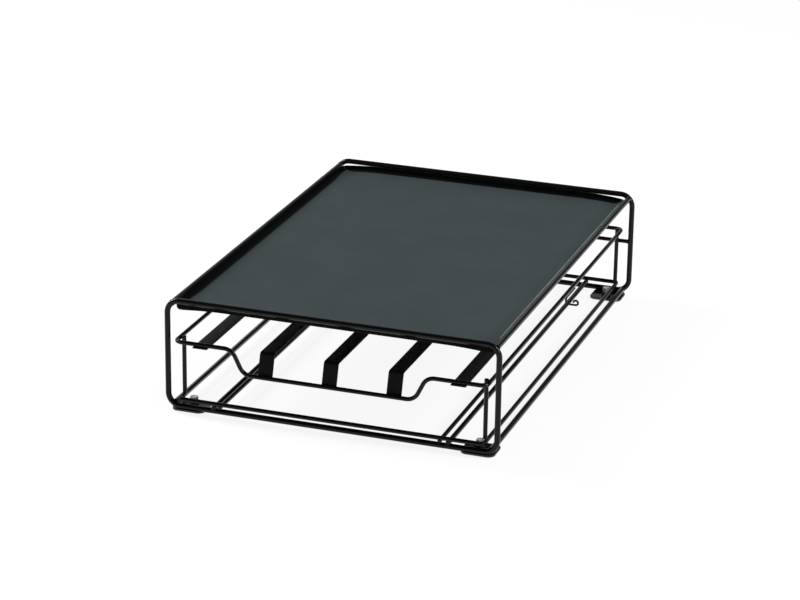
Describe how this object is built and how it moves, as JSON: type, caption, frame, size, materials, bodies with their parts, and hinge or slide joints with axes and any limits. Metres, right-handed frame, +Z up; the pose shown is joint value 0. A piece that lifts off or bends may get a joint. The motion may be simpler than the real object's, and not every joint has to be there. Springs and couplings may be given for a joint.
{
  "type": "coffee pod drawer",
  "caption": "Wire stand with a shallow sheet-metal tray on top and a sliding wire drawer whose flat strips hold coffee pods by their rims.",
  "frame": {"origin": "on the table, midway across the width and midway between the foremost strip ends and the rearmost drawer wire", "axes": "+X to the right as seen by the user in front, +Y to the back, +Z up; the drawer opens towards -Y"},
  "size_m": [0.24, 0.3408, 0.083],
  "materials": {
    "stand_wire": "black powder coat, satin to gloss",
    "drawer_wire": "black powder coat, satin",
    "pod_strip": "black powder coat, matte with a fine grain",
    "tray_sheet": "dark slate coating, semi-gloss",
    "foot_plate": "black powder coat, satin",
    "foot_grey": "soft light grey silicone, matte",
    "collar_rubber": "black rubber, matte"
  },
  "bodies": {
    "stand": {"front_loop": "stand_wire", "back_loop": "stand_wire", "top_wire_left": "stand_wire", "top_wire_right": "stand_wire", "bottom_wire_left": "stand_wire", "bottom_wire_right": "stand_wire", "guide_rail_left": "stand_wire", "guide_rail_right": "stand_wire", "back_cross_wire": "stand_wire", "top_tray": "tray_sheet", "plate_front_left": "foot_plate", "plate_front_right": "foot_plate", "plate_back_left": "foot_plate", "plate_back_right": "foot_plate", "foot_front_left": "foot_grey", "foot_front_right": "foot_grey", "foot_back_left": "foot_grey", "foot_back_right": "foot_grey", "collar_front_left": "collar_rubber", "collar_front_right": "collar_rubber", "collar_back_left": "collar_rubber", "collar_back_right": "collar_rubber"},
    "drawer": {"drawer_rim": "drawer_wire", "drawer_base": "drawer_wire", "post_front_left": "drawer_wire", "post_front_right": "drawer_wire", "post_back_left": "drawer_wire", "post_back_right": "drawer_wire", "runner_left": "drawer_wire", "runner_right": "drawer_wire", "strip_1": "pod_strip", "strip_2": "pod_strip", "strip_3": "pod_strip", "strip_4": "pod_strip", "strip_5": "pod_strip", "hook_left": "drawer_wire", "hook_right": "drawer_wire"}
  },
  "joints": [
    {"name": "drawer_slide", "type": "slide", "parent": "stand", "child": "drawer", "axis": [0, -1, 0], "range_m": [0, 0.285]}
  ]
}
